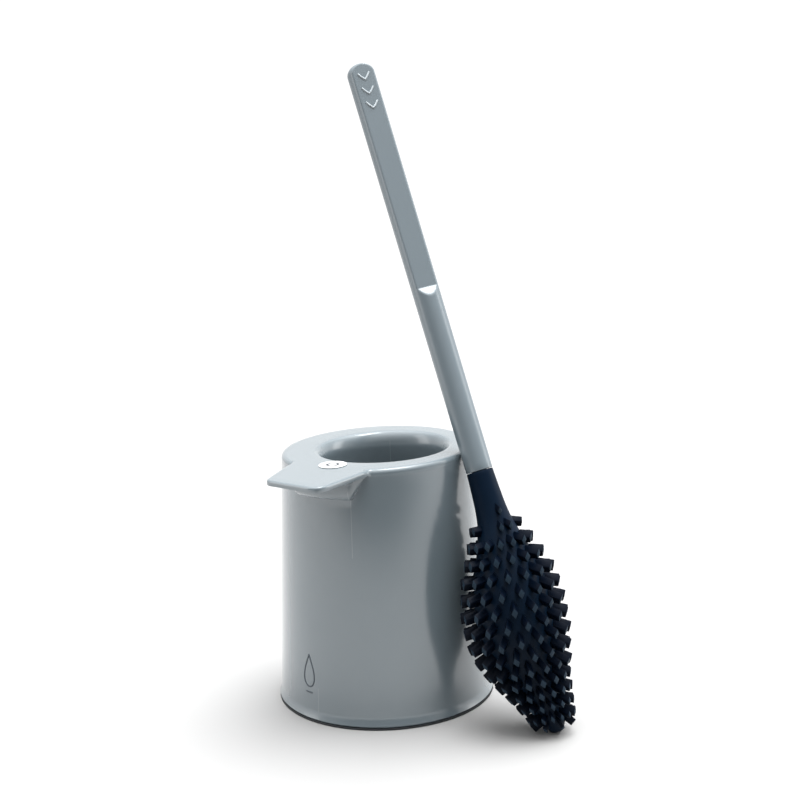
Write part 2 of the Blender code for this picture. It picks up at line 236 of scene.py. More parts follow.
def grid_piece(name, rows, wrap_rows=False, sharp_degrees=40.0):
    """A skin over rows of points. Each row is a closed ring, and a row of one point is a pole."""
    shape = bmesh.new()
    made = [[shape.verts.new(point) for point in row] for row in rows]
    pairs = list(zip(made, made[1:]))
    if wrap_rows:
        pairs.append((made[-1], made[0]))
    for first, second in pairs:
        count = max(len(first), len(second))
        for i in range(count):
            j = (i + 1) % count
            corners = [first[i % len(first)], first[j % len(first)]]
            corners += [second[j % len(second)], second[i % len(second)]]
            shape.faces.new(list(dict.fromkeys(corners)))
    bmesh.ops.recalc_face_normals(shape, faces=shape.faces)
    mesh = bpy.data.meshes.new(name)
    shape.to_mesh(mesh)
    shape.free()
    mesh.shade_smooth()
    mesh.set_sharp_from_angle(angle=math.radians(sharp_degrees))
    return add_piece(name, mesh)


def ring(radius, height, count):
    points = []
    for i in range(count):
        turn = 2 * math.pi * i / count
        points.append((radius * math.cos(turn), radius * math.sin(turn), height))
    return points


def turned_piece(name, profile, count, sharp_degrees=40.0):
    """A turned solid from (radius, height) points. A radius of 0 is a pole."""
    rows = []
    for radius, height in profile:
        rows.append(ring(radius, height, count) if radius > 0 else [(0.0, 0.0, height)])
    return grid_piece(name, rows, sharp_degrees=sharp_degrees)


def rounded_profile(profile, radius, steps=4):
    """The profile with each inner corner replaced by a small arc."""
    found = [profile[0]]
    for before, corner, after in zip(profile, profile[1:], profile[2:]):
        here = Vector(corner)
        back = Vector(before) - here
        ahead = Vector(after) - here
        reach = min(radius, back.length * 0.45, ahead.length * 0.45)
        start = here + back.normalized() * reach
        end = here + ahead.normalized() * reach
        for j in range(steps + 1):
            t = j / steps
            found.append(tuple(start.lerp(here, t).lerp(here.lerp(end, t), t)))
    found.append(profile[-1])
    return found


def plain_copy(obj):
    """Turns an object with modifiers, or a curve, into a plain mesh piece of the same name."""
    graph = bpy.context.evaluated_depsgraph_get()
    mesh = bpy.data.meshes.new_from_object(obj.evaluated_get(graph))
    name = obj.name
    bpy.data.objects.remove(obj)
    return add_piece(name, mesh)


def wire_piece(name, strokes, radius):
    """Round wires through lists of points."""
    curve = bpy.data.curves.new(name, "CURVE")
    curve.dimensions = "3D"
    curve.bevel_depth = radius
    curve.bevel_resolution = 3
    curve.use_fill_caps = True
    for points, closed in strokes:
        spline = curve.splines.new("POLY")
        spline.points.add(len(points) - 1)
        for corner, point in zip(spline.points, points):
            corner.co = (*point, 1.0)
        spline.use_cyclic_u = closed
    piece = plain_copy(add_piece(name, curve))
    piece.data.shade_smooth()
    return piece


# ---- pot ----


def wall_radius(height):
    share = (height - FLARE_HEIGHT) / (POT_HEIGHT - RIM_EDGE - FLARE_HEIGHT)
    return SKIRT_RADIUS + (RIM_RADIUS - SKIRT_RADIUS) * share


def rounded_outline(corners, radii, count=12):
    found = []
    total = len(corners)
    for i, radius in enumerate(radii):
        corner = Vector(corners[i])
        before = (Vector(corners[i - 1]) - corner).normalized()
        after = (Vector(corners[(i + 1) % total]) - corner).normalized()
        half = before.angle(after) / 2
        start = corner + before * radius / math.tan(half)
        end = corner + after * radius / math.tan(half)
        for j in range(count):
            t = j / (count - 1)
            found.append(start.lerp(corner, t).lerp(corner.lerp(end, t), t))
    return found


def outline_reach(outline, turn):
    """How far the outline lies from the origin in this direction, 0 where it doesn't."""
    ahead = Vector((math.cos(turn), math.sin(turn)))
    reach = 0.0
    for start, end in zip(outline, outline[1:] + outline[:1]):
        side = end - start
        across = ahead.x * side.y - ahead.y * side.x
        if abs(across) < 1e-12:
            continue
        distance = (start.x * side.y - start.y * side.x) / across
        share = (start.x * ahead.y - start.y * ahead.x) / across
        if 0.0 <= share <= 1.0:
            reach = max(reach, distance)
    return reach


def blended_max(first, second, blend):
    near = max(blend - abs(first - second), 0.0) / blend
    return max(first, second) + near * near * blend / 4


def rim_turns():
    """Directions of the pot's sections, close together round the tab."""
    turns = []
    degrees = 0.0
    while degrees < 360.0 - 1e-6:
        turns.append(math.radians(degrees))
        fine = TAB_AZIMUTHS[0] <= degrees < TAB_AZIMUTHS[1]
        degrees += FINE_STEP if fine else COARSE_STEP
    return turns


def slope_rim(mesh):
    """Lets the rim fall towards the tab, and the wall below it follow."""
    for vertex in mesh.vertices:
        share = (vertex.co.z - SLOPE_START) / (POT_HEIGHT - SLOPE_START)
        vertex.co.z += RIM_SLOPE * vertex.co.x * min(max(share, 0.0), 1.0)


def pot_section(turn, edge, inward, tab_share):
    """One closed section through the wall: throat, rim, tab, wall, foot and back up inside."""
    out = Vector((math.cos(turn), math.sin(turn)))
    degrees = math.degrees(turn)
    points = []

    def put(plan, height):
        points.append((plan.x, plan.y, height))

    def about_mouth(radius):
        return MOUTH_CENTRE + out * radius

    put(about_mouth(THROAT_RADIUS + WALL), THROAT_END + THROAT_LIP)
    put(about_mouth(THROAT_RADIUS + WALL * 0.75), THROAT_END)
    put(about_mouth(THROAT_RADIUS + WALL * 0.25), THROAT_END)
    put(about_mouth(THROAT_RADIUS), THROAT_END + THROAT_LIP)
    for i in range(13):
        angle = math.radians(90 * i / 12)
        radius = THROAT_RADIUS + MOUTH_ROUNDING * (1 - math.cos(angle))
        depth = MOUTH_ROUNDING_DEPTH * (1 - math.sin(angle))
        put(about_mouth(radius), POT_HEIGHT - depth)

    top_edge = RIM_EDGE + (TAB_EDGE - RIM_EDGE) * tab_share
    plate_start = about_mouth(THROAT_RADIUS + MOUTH_ROUNDING)
    plate_end = edge + inward * top_edge
    for i in range(1, 5):
        put(plate_start.lerp(plate_end, i / 4.5), POT_HEIGHT)
    for i in range(9):
        angle = math.radians(90 * i / 8)
        plan = edge + inward * top_edge * (1 - math.sin(angle))
        put(plan, POT_HEIGHT - top_edge * (1 - math.cos(angle)))

    low = POT_HEIGHT - TAB_THICKNESS
    low_edge = TAB_LOW_EDGE * tab_share
    for i in range(1, 5):
        angle = math.radians(90 * i / 4)
        plan = edge + inward * low_edge * (1 - math.cos(angle))
        put(plan, low + 0.0004 - 0.0004 * i / 4)
    rise = smooth_share(degrees, *WEDGE_START) - smooth_share(degrees, *WEDGE_END)
    wall_top = low - 0.0010 - WEDGE_DEPTH * rise
    under = edge + inward * low_edge
    at_wall = out * wall_radius(wall_top)
    proud = min(SKIRT_PROUD * rise, (under - at_wall).length * 0.7)
    brow = out * (wall_radius(wall_top) + proud)
    brow_height = low - 0.0004 - (low - wall_top) * 0.25 * rise
    for i in range(1, 6):
        share = i / 5
        put(under.lerp(brow, share), low + (brow_height - low) * share**2)
    round_off = min(proud, (brow_height - wall_top) * 0.5)
    put(brow, (brow_height + wall_top + round_off) / 2 + 0.00005)
    for i in range(6):
        angle = math.radians(90 * i / 5)
        plan = out * (wall_radius(wall_top) + proud - round_off * (1 - math.cos(angle)))
        put(plan, wall_top + round_off * (1 - math.sin(angle)) - 0.00003 * i)
    if proud > round_off:
        put(out * (wall_radius(wall_top) + (proud - round_off) * 0.5), wall_top - 0.0002)
    else:
        put(at_wall, wall_top - 0.0002)
    wall_top -= 0.0002
    for i in range(1, 25):
        height = wall_top + (FLARE_HEIGHT - wall_top) * i / 24
        put(out * wall_radius(height), height)

    for i in range(1, 6):
        share = i / 5
        height = FLARE_HEIGHT + (POT_BOTTOM + 0.0006 - FLARE_HEIGHT) * share
        put(out * (SKIRT_RADIUS + (FOOT_RADIUS - SKIRT_RADIUS) * share**1.4), height)
    put(out * (FOOT_RADIUS - 0.0004), POT_BOTTOM)
    put(out * (SKIRT_RADIUS - WALL), POT_BOTTOM)
    under_plate = POT_HEIGHT - PLATE
    for i in range(8):
        height = FLARE_HEIGHT + (under_plate - UNDER_PLATE_ROUNDING - FLARE_HEIGHT) * i / 7
        put(out * (wall_radius(height) - WALL), height)
    put(out * (wall_radius(under_plate) - WALL - 0.0008), under_plate - 0.0008)
    put(out * (wall_radius(under_plate) - WALL - UNDER_PLATE_ROUNDING), under_plate)
    put(about_mouth(THROAT_RADIUS + WALL + NECK_FLARE), under_plate)
    put(about_mouth(THROAT_RADIUS + WALL + NECK_FLARE * 0.4), under_plate - 0.0060)
    return points


def make_pot():
    outline = rounded_outline(TAB_CORNERS, TAB_CORNER_RADII)
    turns = rim_turns()
    edges = []
    shares = []
    for turn in turns:
        reach = blended_max(RIM_RADIUS, outline_reach(outline, turn), TAB_BLEND)
        edges.append(Vector((math.cos(turn), math.sin(turn))) * reach)
        shares.append(smooth_share(reach - RIM_RADIUS, 0.0002, 0.0045))
    rows = []
    total = len(turns)
    for i, turn in enumerate(turns):
        along = (edges[(i + 1) % total] - edges[i - 1]).normalized()
        inward = Vector((-along.y, along.x))
        rows.append(pot_section(turn, edges[i], inward, shares[i]))
    pot = grid_piece("pot_body", rows, wrap_rows=True)
    slope_rim(pot.data)
    return pot


def make_base_cup():
    low = POT_BOTTOM
    outer = SKIRT_RADIUS - WALL - GAP
    top = low + CUP_HEIGHT
    outer_top = wall_radius(top) - WALL - GAP
    inner = outer - CUP_WALL
    profile = [
        (0.0, low),
        (outer, low),
        (outer, FLARE_HEIGHT),
        (outer_top, top),
        (outer_top - CUP_WALL, top),
        (inner, low + CUP_FLOOR),
        (0.0, low + CUP_FLOOR),
    ]
    return turned_piece("drip_cup", rounded_profile(profile, 0.0006), 160)


def make_foot():
    profile = [
        (0.0, 0.0),
        (FOOT_DISC_RADIUS, 0.0),
        (FOOT_DISC_RADIUS, FOOT_THICKNESS),
        (0.0, FOOT_THICKNESS),
    ]
    return turned_piece("foot_pad", rounded_profile(profile, 0.0004), 200)


def make_label():
    low = POT_HEIGHT + LABEL_LIFT
    high = low + LABEL_THICKNESS
    profile = [(0.0, low), (LABEL_RADIUS, low), (LABEL_RADIUS, high), (0.0, high)]
    label = turned_piece("round_label", rounded_profile(profile, 0.00012), 96)
    label.data.transform(Matrix.Translation(LABEL_CENTRE))
    slope_rim(label.data)
    return label


def make_drop_mark():
    """A drop outline on the wall with a short bar under it."""
    drop = []
    for i in range(48):
        turn = 2 * math.pi * i / 48
        width = DROP_HALF_WIDTH * math.sin(turn) * math.sin(turn / 2) ** 1.3
        drop.append((width, DROP_HALF_HEIGHT * math.cos(turn)))
    foot = [(-0.45 + 0.9 * i / 8, -1.35) for i in range(9)]
    bar = [(x * DROP_HALF_WIDTH, z * DROP_HALF_HEIGHT) for x, z in foot]
    strokes = []
    for flat, closed in ((drop, True), (bar, False)):
        points = []
        for across, up in flat:
            height = DROP_HEIGHT + up
            radius = wall_radius(height) - MARK_SINK
            turn = DROP_AZIMUTH + across / radius
            points.append((radius * math.cos(turn), radius * math.sin(turn), height))
        strokes.append((points, closed))
    return wire_piece("drop_mark", strokes, MARK_WIRE)


# ---- brush ----


def brush_place():
    hinge = Vector((-math.sin(LEAN_TOWARDS), math.cos(LEAN_TOWARDS), 0.0))
    return Matrix.Translation(BRUSH_JOINT) @ Quaternion(hinge, LEAN).to_matrix().to_4x4()


def flat_distance(height, radius):
    """How far the cut face lies from the handle's axis."""
    rise = (FLAT_START - height) / FLAT_RAMP
    return FLAT_DISTANCE + (radius - FLAT_DISTANCE) * max(rise, 0.0)


def handle_ring(radius, height, count=HANDLE_SIDES):
    points = []
    for i in range(count):
        turn = 2 * math.pi * i / count
        facing = math.cos(turn - FLAT_FACING)
        reach = radius
        if facing > 0.05:
            cut = flat_distance(height, HANDLE_RADIUS) / facing
            reach = -blended_max(-radius, -cut, FLAT_EDGE)
        points.append((reach * math.cos(turn), reach * math.sin(turn), height))
    return points


def make_handle():
    rows = [[(0.0, 0.0, SOCKET_DEPTH)]]
    bore = SPIGOT_RADIUS + GAP
    low = GAP / 2
    start = [
        (bore - JOINT_EDGE, SOCKET_DEPTH),
        (bore, SOCKET_DEPTH - JOINT_EDGE),
        (bore, low + BORE_EDGE),
        (bore + BORE_EDGE, low),
        (HANDLE_JOINT_RADIUS - JOINT_EDGE, low),
        (HANDLE_JOINT_RADIUS - JOINT_EDGE / 4, low + JOINT_EDGE / 4),
        (HANDLE_JOINT_RADIUS, low + JOINT_EDGE),
    ]
    rows += [ring(radius, height, HANDLE_SIDES) for radius, height in start]

    dome_start = HANDLE_LENGTH - HANDLE_DOME
    ramp_start = FLAT_START - FLAT_RAMP * 1.3
    heights = [ramp_start * i / 24 for i in range(1, 24)]
    ramp_steps = 36
    ramp_end = FLAT_START + 0.0012
    heights += [ramp_start + (ramp_end - ramp_start) * i / ramp_steps for i in range(ramp_steps + 1)]
    heights += [ramp_end + (dome_start - ramp_end) * i / 30 for i in range(1, 31)]
    for height in heights:
        share = height / dome_start
        radius = HANDLE_JOINT_RADIUS + (HANDLE_RADIUS - HANDLE_JOINT_RADIUS) * share
        rows.append(handle_ring(radius, height))
    for i in range(1, 16):
        angle = math.radians(90 * i / 16)
        height = dome_start + HANDLE_DOME * math.sin(angle)
        rows.append(handle_ring(HANDLE_RADIUS * math.cos(angle), height))
    rows.append([(0.0, 0.0, HANDLE_LENGTH)])
    handle = grid_piece("grip", rows, sharp_degrees=32.0)
    handle.data.transform(brush_place())
    return handle


def make_chevrons():
    """Three raised chevrons on the flat of the handle."""
    out = Vector((math.cos(FLAT_FACING), math.sin(FLAT_FACING), 0.0))
    side = Vector((-math.sin(FLAT_FACING), math.cos(FLAT_FACING), 0.0))
    strokes = []
    for k in range(CHEVRONS):
        top = HANDLE_LENGTH - CHEVRON_TOP - CHEVRON_PITCH * k
        points = []
        for i in range(-6, 7):
            across = CHEVRON_HALF_WIDTH * i / 6
            height = top - CHEVRON_DROP * (1 - abs(i / 6) ** 1.2)
            place = out * (FLAT_DISTANCE + CHEVRON_RISE) + side * across
            points.append(tuple(place + Vector((0.0, 0.0, height))))
        strokes.append((points, False))
    marks = wire_piece("grip_marks", strokes, MARK_WIRE)
    marks.data.transform(brush_place())
    return marks


def bow(depth):
    share = min(max(depth / HEAD_LENGTH, 0.0), 1.0)
    return HEAD_BOW * (1 - math.cos(2 * math.pi * share**HEAD_BOW_POWER)) / 2


def bend_head(mesh):
    for vertex in mesh.vertices:
        vertex.co.x -= bow(-vertex.co.z)


def head_radius(depth):
    """Radius of the silicone body, on a smooth line through its profile."""
    last = len(HEAD_PROFILE) - 1
    for i in range(last):
        near, first = HEAD_PROFILE[i]
        far, second = HEAD_PROFILE[i + 1]
        if depth <= far:
            before = HEAD_PROFILE[max(i - 1, 0)]
            after = HEAD_PROFILE[min(i + 2, last)]
            slope_in = (second - before[1]) / (far - before[0])
            slope_out = (after[1] - first) / (after[0] - near)
            run = far - near
            t = (depth - near) / run
            keep = first * (2 * t**3 - 3 * t**2 + 1) + second * (3 * t**2 - 2 * t**3)
            return keep + run * (slope_in * (t**3 - 2 * t**2 + t) + slope_out * (t**3 - t**2))
    end_depth, end_radius = HEAD_PROFILE[-1]
    share = (depth - end_depth) / (HEAD_LENGTH - end_depth)
    return end_radius * math.sqrt(max(1.0 - share**2, 0.0))


def head_slope(depth):
    step = 0.001
    return (head_radius(depth + step) - head_radius(depth - step)) / (2 * step)


def nub_droop(depth, turn):
    first, last = NUB_DROOP_FADE
    along = min(max((depth - first) / (last - first), 0.0), 1.0)
    facing = 0.5 + 0.5 * math.cos(turn - NUB_DROOP_FACING)
    return NUB_DROOP * facing * (1.0 + (NUB_DROOP_LEFT - 1.0) * along)


def nub_length(depth):
    """Short at the neck, longest round the middle, and shorter again towards the tip."""
    first, last = NUB_FULL_LENGTH_DEPTHS
    if depth < first:
        share = (depth - NUB_FIRST) / (first - NUB_FIRST)
        return NUB_FIRST_LENGTH + (NUB_LENGTH - NUB_FIRST_LENGTH) * max(share, 0.0)
    share = max(depth - last, 0.0) / (HEAD_LENGTH - last)
    return NUB_LENGTH + (NUB_LAST_LENGTH - NUB_LENGTH) * share


def ring_nubs():
    """(depth, turn, tilt, half width) of each nub in the rings, then of those at the tip."""
    pitch = 2 * math.pi / NUBS_PER_RING
    for row in range(NUB_RINGS):
        depth = NUB_FIRST + NUB_RING_PITCH * row - NUB_PITCH_LOSS * row**2
        groups = NUB_GROUPS[row] if row < len(NUB_GROUPS) else NUBS_PER_RING
        group_pitch = 2 * math.pi / groups
        reach = pitch * (0.25 + 0.5 * row)
        width = min(NUB_HALF_WIDTH, NUB_SHARE_OF_PITCH * pitch * head_radius(depth))
        for i in range(NUBS_PER_RING):
            turn = pitch * (i + 0.5 * (row % 2))
            from_group = abs((turn + group_pitch / 2) % group_pitch - group_pitch / 2)
            if from_group <= reach:
                facing = NUB_TURN + turn
                tilt = math.atan(head_slope(depth)) - nub_droop(depth, facing)
                yield depth, facing, tilt, width
    middle, swing = TIP_NUB_TILTS
    for i in range(TIP_NUBS):
        turn = TIP_NUB_TURN + 2 * math.pi * i / TIP_NUBS
        tilt = middle + swing * math.cos(turn - TIP_NUB_FACING)
        yield TIP_NUB_DEPTH, turn, tilt, TIP_NUB_HALF_WIDTH


def nub_points():
    """One point at the middle of each nub, with its directions and size as attributes."""
    chance = random.Random(11)
    places, outs, alongs, sizes = [], [], [], []
    for depth, turn, tilt, width in ring_nubs():
        share = width / NUB_HALF_WIDTH
        half_height = NUB_HALF_HEIGHT * (0.45 + 0.55 * share)
        length = nub_length(depth) * chance.uniform(0.96, 1.03)
        tilt += math.radians(chance.uniform(-2.0, 2.0))
        outward = Vector((math.cos(turn), math.sin(turn), 0.0))
        out = outward * math.cos(tilt) + Vector((0.0, 0.0, math.sin(tilt)))
        around = Vector((-math.sin(turn), math.cos(turn), 0.0))
        base = outward * head_radius(depth) + Vector((0.0, 0.0, -depth))
        places.append(base + out * (length - NUB_ROOT) / 2)
        outs.append(out)
        alongs.append(out.cross(around))
        sizes.append(Vector((width, half_height, NUB_ROOT + length)))
    mesh = bpy.data.meshes.new("nubs")
    mesh.from_pydata([tuple(place) for place in places], [], [])
    for name, values in (("out", outs), ("along", alongs), ("size", sizes)):
        store = mesh.attributes.new(name, "FLOAT_VECTOR", "POINT")
        for item, value in zip(store.data, values):
            item.vector = value
    return add_piece("nubs", mesh)


def nub_tree():
    """Sets a four-sided peg on each point, turned and sized by the point's attributes."""
    tree = bpy.data.node_groups.new("nub_field", "GeometryNodeTree")
    face = tree.interface
    face.new_socket("Geometry", in_out="INPUT", socket_type="NodeSocketGeometry")
    draft = face.new_socket("Draft", in_out="INPUT", socket_type="NodeSocketFloat")
    finish = face.new_socket("Material", in_out="INPUT", socket_type="NodeSocketMaterial")
    face.new_socket("Geometry", in_out="OUTPUT", socket_type="NodeSocketGeometry")
    nodes, links = tree.nodes, tree.links
    start = nodes.new("NodeGroupInput")
    end = nodes.new("NodeGroupOutput")
    peg = nodes.new("GeometryNodeMeshCone")
    peg.fill_type = "NGON"
    peg.inputs["Vertices"].default_value = 4
    peg.inputs["Radius Bottom"].default_value = 1.0
    peg.inputs["Depth"].default_value = 1.0
    links.new(start.outputs["Draft"], peg.inputs["Radius Top"])
    # marks the nubs' tip and side faces, where the silicone material paints light and shade
    tip = nodes.new("GeometryNodeStoreNamedAttribute")
    tip.data_type = "FLOAT"
    tip.domain = "FACE"
    tip.inputs["Name"].default_value = "tip"
    links.new(peg.outputs["Mesh"], tip.inputs["Geometry"])
    links.new(peg.outputs["Top"], tip.inputs["Selection"])
    tip.inputs["Value"].default_value = 1.0
    side = nodes.new("GeometryNodeStoreNamedAttribute")
    side.data_type = "FLOAT"
    side.domain = "FACE"
    side.inputs["Name"].default_value = "side"
    links.new(tip.outputs["Geometry"], side.inputs["Geometry"])
    links.new(peg.outputs["Side"], side.inputs["Selection"])
    side.inputs["Value"].default_value = 1.0
    centre = nodes.new("GeometryNodeTransform")
    centre.inputs["Translation"].default_value = (0.0, 0.0, -0.5)
    links.new(side.outputs["Geometry"], centre.inputs["Geometry"])
    read = {}
    for name in ("out", "along", "size"):
        read[name] = nodes.new("GeometryNodeInputNamedAttribute")
        read[name].data_type = "FLOAT_VECTOR"
        read[name].inputs["Name"].default_value = name
    facing = nodes.new("FunctionNodeAxesToRotation")
    facing.primary_axis = "Z"
    facing.secondary_axis = "Y"
    links.new(read["out"].outputs["Attribute"], facing.inputs["Primary Axis"])
    links.new(read["along"].outputs["Attribute"], facing.inputs["Secondary Axis"])
    place = nodes.new("GeometryNodeInstanceOnPoints")
    links.new(start.outputs["Geometry"], place.inputs["Points"])
    links.new(centre.outputs["Geometry"], place.inputs["Instance"])
    links.new(facing.outputs["Rotation"], place.inputs["Rotation"])
    links.new(read["size"].outputs["Attribute"], place.inputs["Scale"])
    real = nodes.new("GeometryNodeRealizeInstances")
    paint = nodes.new("GeometryNodeSetMaterial")
    links.new(place.outputs["Instances"], real.inputs["Geometry"])
    links.new(real.outputs["Geometry"], paint.inputs["Geometry"])
    links.new(start.outputs["Material"], paint.inputs["Material"])
    links.new(paint.outputs["Geometry"], end.inputs["Geometry"])
    return tree, draft.identifier, finish.identifier


def make_nubs(material):
    points = nub_points()
    tree, draft, finish = nub_tree()
    field = points.modifiers.new("Nubs", "NODES")
    field.node_group = tree
    field[draft] = NUB_DRAFT
    field[finish] = material
    edge = points.modifiers.new("Edges", "BEVEL")
    edge.width = NUB_EDGE
    edge.segments = 2
    edge.limit_method = "ANGLE"
    return plain_copy(points)


def make_head(material):
    """The silicone body with a hollow for its core, and its nubs in the same piece."""
    top = -GAP / 2
    rows = []
    cavity_end = -SPINE_LENGTH - 2 * GAP - 0.0010
    rows.append([(0.0, 0.0, cavity_end)])
    cavity_top = SPINE_TOP_RADIUS + GAP
    cavity_tip = SPINE_TIP_RADIUS + GAP
    for i in range(13):
        share = 1 - i / 12
        height = top - (SPINE_LENGTH + GAP) * share
        rows.append(ring(cavity_top + (cavity_tip - cavity_top) * share, height, HEAD_SIDES))
    rows.append(ring(HEAD_PROFILE[0][1] - 0.0004, top, HEAD_SIDES))
    rows.append(ring(HEAD_PROFILE[0][1] - 0.0001, top - 0.0001, HEAD_SIDES))
    straight_end = HEAD_PROFILE[-1][0]
    for i in range(HEAD_STEPS + 1):
        depth = 0.0005 + (straight_end - 0.0005) * i / HEAD_STEPS
        rows.append(ring(head_radius(depth), -depth, HEAD_SIDES))
    for i in range(1, 8):
        share = math.sin(math.radians(90 * i / 8))
        depth = straight_end + (HEAD_LENGTH - straight_end) * share
        rows.append(ring(head_radius(depth), -depth, HEAD_SIDES))
    rows.append([(0.0, 0.0, -HEAD_LENGTH)])
    head = grid_piece("brush_head", rows)
    nubs = make_nubs(material)
    whole = bmesh.new()
    whole.from_mesh(head.data)
    whole.from_mesh(nubs.data)
    whole.to_mesh(head.data)
    whole.free()
    bpy.data.objects.remove(nubs)
    head.data.materials.clear()
    head.data.shade_smooth()
    head.data.set_sharp_from_angle(angle=math.radians(40.0))
    bend_head(head.data)
    head.data.transform(brush_place())
    return head


def make_core():
    points = [(0.0, SPIGOT_LENGTH), (SPIGOT_RADIUS - 0.0006, SPIGOT_LENGTH)]
    points += [(SPIGOT_RADIUS, SPIGOT_LENGTH - 0.0008), (SPIGOT_RADIUS, GAP / 2)]
    for i in range(13):
        share = i / 12
        radius = SPINE_TOP_RADIUS + (SPINE_TIP_RADIUS - SPINE_TOP_RADIUS) * share
        points.append((radius, -GAP / 2 - SPINE_LENGTH * share))
    points += [(0.0, -SPINE_LENGTH - 0.0010)]
    core = turned_piece("core_pin", points, 64)
    bend_head(core.data)
    core.data.transform(brush_place())
    return core


# ---- materials ----


def new_group(name, inputs, outputs):
    tree = bpy.data.node_groups.new(name, "ShaderNodeTree")
    for label, kind, value in inputs:
        socket = tree.interface.new_socket(label, in_out="INPUT", socket_type=kind)
        socket.default_value = value
    for label, kind in outputs:
        tree.interface.new_socket(label, in_out="OUTPUT", socket_type=kind)
    return tree, tree.nodes.new("NodeGroupInput"), tree.nodes.new("NodeGroupOutput")


def math_node(tree, operation, first, second=None, clamp=False):
    node = tree.nodes.new("ShaderNodeMath")
    node.operation = operation
    node.use_clamp = clamp
    for socket, value in zip(node.inputs, (first, second)):
        if isinstance(value, (int, float)):
            socket.default_value = value
        elif value is not None:
            tree.links.new(value, socket)
    return node.outputs["Value"]


def noise(tree, vector, scale, detail):
    node = tree.nodes.new("ShaderNodeTexNoise")
    node.inputs["Detail"].default_value = detail
    tree.links.new(vector, node.inputs["Vector"])
    if isinstance(scale, (int, float)):
        node.inputs["Scale"].default_value = scale
    else:
        tree.links.new(scale, node.inputs["Scale"])
    return node.outputs["Fac"]


def spread(tree, value, low, high, to_low, to_high):
    """Maps a value that runs from low to high onto another range, and stops at its ends."""
    node = tree.nodes.new("ShaderNodeMapRange")
    tree.links.new(value, node.inputs["Value"])
    ends = (("From Min", low), ("From Max", high), ("To Min", to_low), ("To Max", to_high))
    for label, end in ends:
        if isinstance(end, (int, float)):
            node.inputs[label].default_value = end
        else:
            tree.links.new(end, node.inputs[label])
    return node.outputs["Result"]


def moulded_group():
    """Colour drift, roughness drift, fine grain and scuffs of moulded plastic or rubber."""
    inputs = (
        ("Vector", "NodeSocketVector", (0.0, 0.0, 0.0)),
        ("Colour", "NodeSocketColor", (0.5, 0.5, 0.5, 1.0)),
        ("Worn Colour", "NodeSocketColor", (0.6, 0.6, 0.6, 1.0)),
        ("Drift", "NodeSocketFloat", 0.05),
        ("Roughness", "NodeSocketFloat", 0.4),
        ("Roughness Drift", "NodeSocketFloat", 0.06),
        ("Grain Scale", "NodeSocketFloat", 1500.0),
        ("Scuffs", "NodeSocketFloat", 0.2),
    )
    outputs = (
        ("Colour", "NodeSocketColor"),
        ("Roughness", "NodeSocketFloat"),
        ("Height", "NodeSocketFloat"),
    )
    tree, start, end = new_group("moulded_finish", inputs, outputs)
    vector = start.outputs["Vector"]
    cloud = noise(tree, vector, 22.0, 3.0)
    grain = noise(tree, vector, start.outputs["Grain Scale"], 2.0)
    stretch = tree.nodes.new("ShaderNodeMapping")
    stretch.inputs["Scale"].default_value = (1.0, 1.0, 0.12)
    stretch.inputs["Rotation"].default_value = (0.3, 0.5, 0.0)
    tree.links.new(vector, stretch.inputs["Vector"])
    scratch = noise(tree, stretch.outputs["Vector"], 420.0, 4.0)
    scuffed = spread(tree, scratch, 0.60, 0.70, 0.0, 1.0)
    patches = spread(tree, noise(tree, vector, 45.0, 2.0), 0.48, 0.66, 0.0, 1.0)
    scuffed = math_node(tree, "MULTIPLY", scuffed, patches)
    scuffed = math_node(tree, "MULTIPLY", scuffed, start.outputs["Scuffs"])
    drift = spread(tree, cloud, 0.3, 0.7, 0.0, start.outputs["Drift"])
    worn = math_node(tree, "ADD", scuffed, drift, clamp=True)
    mix = tree.nodes.new("ShaderNodeMix")
    mix.data_type = "RGBA"
    tree.links.new(worn, mix.inputs["Factor"])
    tree.links.new(start.outputs["Colour"], mix.inputs["A"])
    tree.links.new(start.outputs["Worn Colour"], mix.inputs["B"])
    rough = spread(tree, cloud, 0.3, 0.7, 0.0, start.outputs["Roughness Drift"])
    rough = math_node(tree, "ADD", rough, start.outputs["Roughness"])
    rough = math_node(tree, "ADD", rough, math_node(tree, "MULTIPLY", scuffed, 0.3))
    height = math_node(tree, "SUBTRACT", grain, math_node(tree, "MULTIPLY", scuffed, 0.8))
    tree.links.new(mix.outputs["Result"], end.inputs["Colour"])
    tree.links.new(rough, end.inputs["Roughness"])
    tree.links.new(height, end.inputs["Height"])
    return tree


